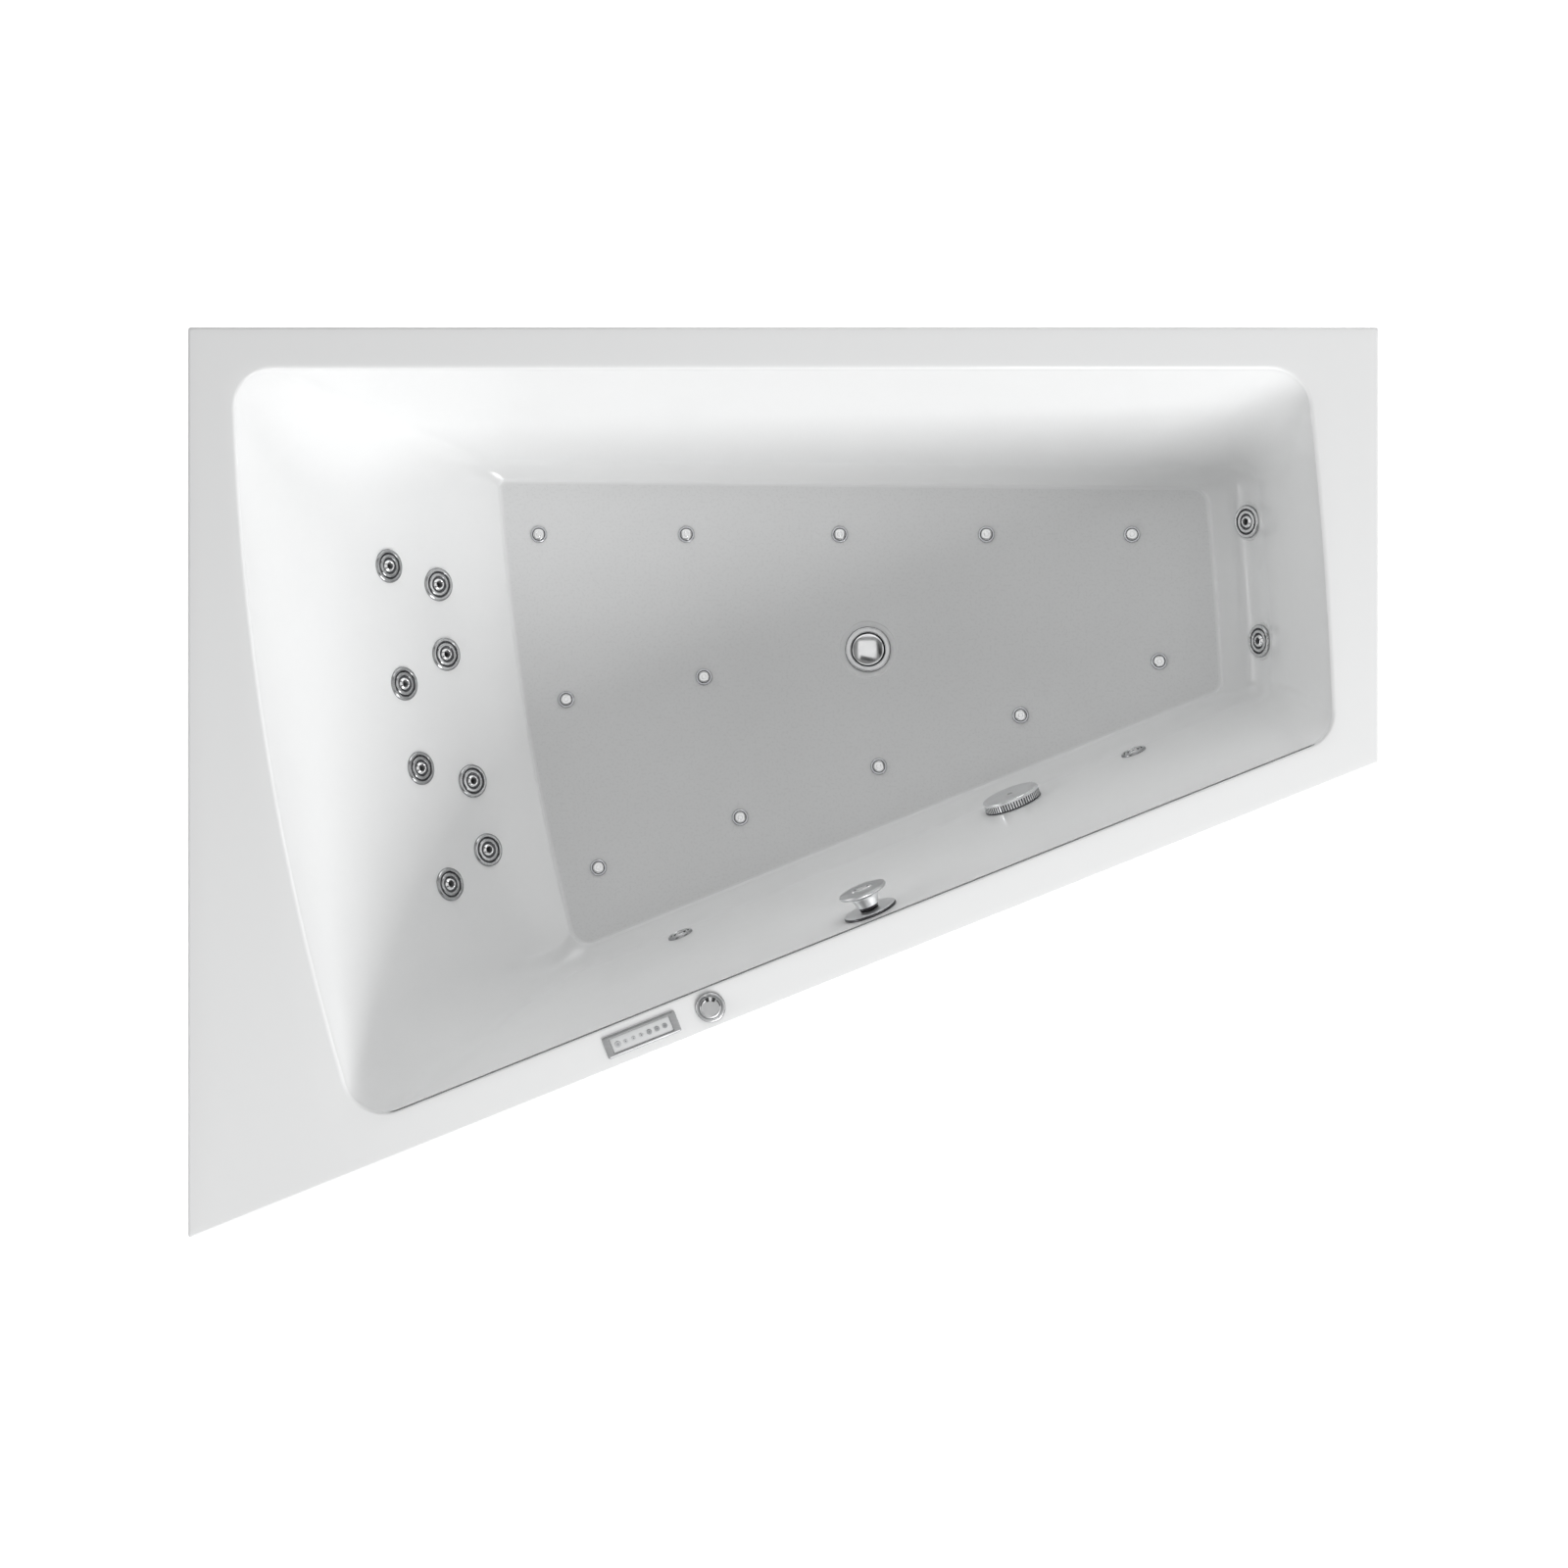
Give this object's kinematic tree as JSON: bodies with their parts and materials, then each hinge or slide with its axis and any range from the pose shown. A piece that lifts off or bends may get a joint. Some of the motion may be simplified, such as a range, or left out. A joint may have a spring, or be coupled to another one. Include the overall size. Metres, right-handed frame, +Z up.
{
  "type": "jetted bathtub",
  "caption": "Asymmetric jetted bathtub with a moulded shell on a levelling frame, aimable jets, waste and overflow set, keypad, and pump and blower with pipework.",
  "frame": {"origin": "centre of the bounding box on the floor plane under the feet", "axes": "+X to the foot end with two jets, +Y to the straight back edge along the wall, +Z up out of the basin"},
  "size_m": [1.7, 1.3, 0.609],
  "materials": {
    "acrylic": "white, polished",
    "board": "plain particle board",
    "frame_steel": "dark powder coat",
    "zinc_steel": "zinc plated",
    "stainless": "bright stainless",
    "pad_rubber": "matt black",
    "gasket_rubber": "matt black",
    "chrome": "bright plating",
    "white_pipe": "moulded white",
    "black_plastic": "moulded black",
    "grey_plastic": "fine texture",
    "black_sleeve": "extruded sleeve",
    "clear_hose": "milky flexible",
    "keypad_plate": "white membrane",
    "button_plastic": "satin keys",
    "motor_paint": "stove enamel"
  },
  "bodies": {
    "bath": {"tub_shell": "acrylic", "base_board": "board", "frame_back_rail": "frame_steel", "frame_foot_rail": "frame_steel", "frame_front_rail": "frame_steel", "frame_head_rail": "frame_steel", "cross_rails": "frame_steel", "uprights": "frame_steel", "equipment_plates": "frame_steel", "foot_pads": "pad_rubber", "foot_rods": "zinc_steel", "foot_nuts": "zinc_steel", "jet_housings": "white_pipe", "jet_gaskets": "gasket_rubber", "jet_trims": "chrome", "air_injector_caps": "chrome", "air_injector_bodies": "white_pipe", "lock_nuts": "white_pipe", "suction_body": "white_pipe", "suction_cover": "chrome", "suction_screw": "stainless", "waste_flange": "chrome", "waste_body": "black_plastic", "waste_trap": "white_pipe", "overflow_body": "black_plastic", "overflow_pipe": "white_pipe", "bowden_cable": "black_sleeve", "air_control_body": "chrome", "keypad_frame": "chrome", "keypad_housing": "keypad_plate", "pump_motor": "motor_paint", "pump_wet_end": "black_plastic", "suction_pipe": "white_pipe", "supply_pipe": "white_pipe", "hoses": "clear_hose", "blower": "black_plastic", "air_pipe": "white_pipe", "control_box": "grey_plastic"},
    "overflow_knob": {"overflow_control": "chrome"},
    "plug": {"waste_plug": "chrome"},
    "air_knob": {"air_control_knob": "chrome"},
    "keypad_button_1": {"keypad_button_1": "button_plastic"},
    "keypad_button_2": {"keypad_button_2": "button_plastic"},
    "keypad_button_3": {"keypad_button_3": "button_plastic"},
    "keypad_button_4": {"keypad_button_4": "button_plastic"},
    "keypad_button_5": {"keypad_button_5": "button_plastic"},
    "keypad_button_6": {"keypad_button_6": "button_plastic"},
    "keypad_button_7": {"keypad_button_7": "button_plastic"},
    "back_nozzle_1": {"back_nozzle_1": "chrome"},
    "back_nozzle_2": {"back_nozzle_2": "chrome"},
    "back_nozzle_3": {"back_nozzle_3": "chrome"},
    "back_nozzle_4": {"back_nozzle_4": "chrome"},
    "back_nozzle_5": {"back_nozzle_5": "chrome"},
    "back_nozzle_6": {"back_nozzle_6": "chrome"},
    "back_nozzle_7": {"back_nozzle_7": "chrome"},
    "back_nozzle_8": {"back_nozzle_8": "chrome"},
    "foot_nozzle_1": {"foot_nozzle_1": "chrome"},
    "foot_nozzle_2": {"foot_nozzle_2": "chrome"},
    "side_nozzle_1": {"side_nozzle_1": "chrome"},
    "side_nozzle_2": {"side_nozzle_2": "chrome"}
  },
  "joints": [
    {"name": "control_turn", "type": "hinge", "parent": "bath", "child": "overflow_knob", "pos_m": [0.12613, -0.18595, 0.544], "axis": [-0.3644, 0.9126, 0.1852], "range_deg": [0, 90]},
    {"name": "plug_lift", "type": "slide", "parent": "bath", "child": "plug", "axis": [0, 0, 1], "range_m": [0, 0.01]},
    {"name": "air_turn", "type": "hinge", "parent": "bath", "child": "air_knob", "pos_m": [-0.10391, -0.32068, 0.6], "axis": [0, 0, 1], "range_deg": [0, 180]},
    {"name": "key_1_press", "type": "slide", "parent": "bath", "child": "keypad_button_1", "axis": [0, 0, -1], "range_m": [0, 0.0005], "stiffness_N_per_m": 2000},
    {"name": "key_2_press", "type": "slide", "parent": "bath", "child": "keypad_button_2", "axis": [0, 0, -1], "range_m": [0, 0.0005], "stiffness_N_per_m": 2000},
    {"name": "key_3_press", "type": "slide", "parent": "bath", "child": "keypad_button_3", "axis": [0, 0, -1], "range_m": [0, 0.0005], "stiffness_N_per_m": 2000},
    {"name": "key_4_press", "type": "slide", "parent": "bath", "child": "keypad_button_4", "axis": [0, 0, -1], "range_m": [0, 0.0005], "stiffness_N_per_m": 2000},
    {"name": "key_5_press", "type": "slide", "parent": "bath", "child": "keypad_button_5", "axis": [0, 0, -1], "range_m": [0, 0.0005], "stiffness_N_per_m": 2000},
    {"name": "key_6_press", "type": "slide", "parent": "bath", "child": "keypad_button_6", "axis": [0, 0, -1], "range_m": [0, 0.0005], "stiffness_N_per_m": 2000},
    {"name": "key_7_press", "type": "slide", "parent": "bath", "child": "keypad_button_7", "axis": [0, 0, -1], "range_m": [0, 0.0005], "stiffness_N_per_m": 2000},
    {"name": "back_jet_1_aim", "type": "hinge", "parent": "bath", "child": "back_nozzle_1", "pos_m": [-0.60546, 0.32986, 0.28936], "axis": [-0.094, 0.9956, 0], "range_deg": [-15, 15]},
    {"name": "back_jet_2_aim", "type": "hinge", "parent": "bath", "child": "back_nozzle_2", "pos_m": [-0.53639, 0.30568, 0.22495], "axis": [-0.1034, 0.9946, 0], "range_deg": [-15, 15]},
    {"name": "back_jet_3_aim", "type": "hinge", "parent": "bath", "child": "back_nozzle_3", "pos_m": [-0.52431, 0.19782, 0.22555], "axis": [-0.1317, 0.9913, 0], "range_deg": [-15, 15]},
    {"name": "back_jet_4_aim", "type": "hinge", "parent": "bath", "child": "back_nozzle_4", "pos_m": [-0.58213, 0.15028, 0.28716], "axis": [-0.1413, 0.99, 0], "range_deg": [-15, 15]},
    {"name": "back_jet_5_aim", "type": "hinge", "parent": "bath", "child": "back_nozzle_5", "pos_m": [-0.55727, 0.02146, 0.28273], "axis": [-0.1753, 0.9845, 0], "range_deg": [-15, 15]},
    {"name": "back_jet_6_aim", "type": "hinge", "parent": "bath", "child": "back_nozzle_6", "pos_m": [-0.48429, 0.00201, 0.2181], "axis": [-0.1836, 0.983, 0], "range_deg": [-15, 15]},
    {"name": "back_jet_7_aim", "type": "hinge", "parent": "bath", "child": "back_nozzle_7", "pos_m": [-0.46046, -0.10468, 0.21617], "axis": [-0.2117, 0.9773, 0], "range_deg": [-15, 15]},
    {"name": "back_jet_8_aim", "type": "hinge", "parent": "bath", "child": "back_nozzle_8", "pos_m": [-0.5135, -0.15615, 0.27484], "axis": [-0.2224, 0.975, 0], "range_deg": [-15, 15]},
    {"name": "foot_jet_1_aim", "type": "hinge", "parent": "bath", "child": "foot_nozzle_1", "pos_m": [0.72697, 0.40732, 0.17932], "axis": [0.0897, -0.996, 0], "range_deg": [-15, 15]},
    {"name": "foot_jet_2_aim", "type": "hinge", "parent": "bath", "child": "foot_nozzle_2", "pos_m": [0.74588, 0.22102, 0.18664], "axis": [0.0585, -0.9983, 0], "range_deg": [-15, 15]},
    {"name": "side_jet_1_aim", "type": "hinge", "parent": "bath", "child": "side_nozzle_1", "pos_m": [-0.15761, -0.23916, 0.22476], "axis": [-0.9279, -0.3729, 0], "range_deg": [-15, 15]},
    {"name": "side_jet_2_aim", "type": "hinge", "parent": "bath", "child": "side_nozzle_2", "pos_m": [0.5433, 0.04333, 0.22098], "axis": [-0.9279, -0.373, 0], "range_deg": [-15, 15]}
  ],
  "couplings": [
    {"joint": "plug_lift", "follows": "control_turn", "m_per_rad": 0.00636}
  ]
}
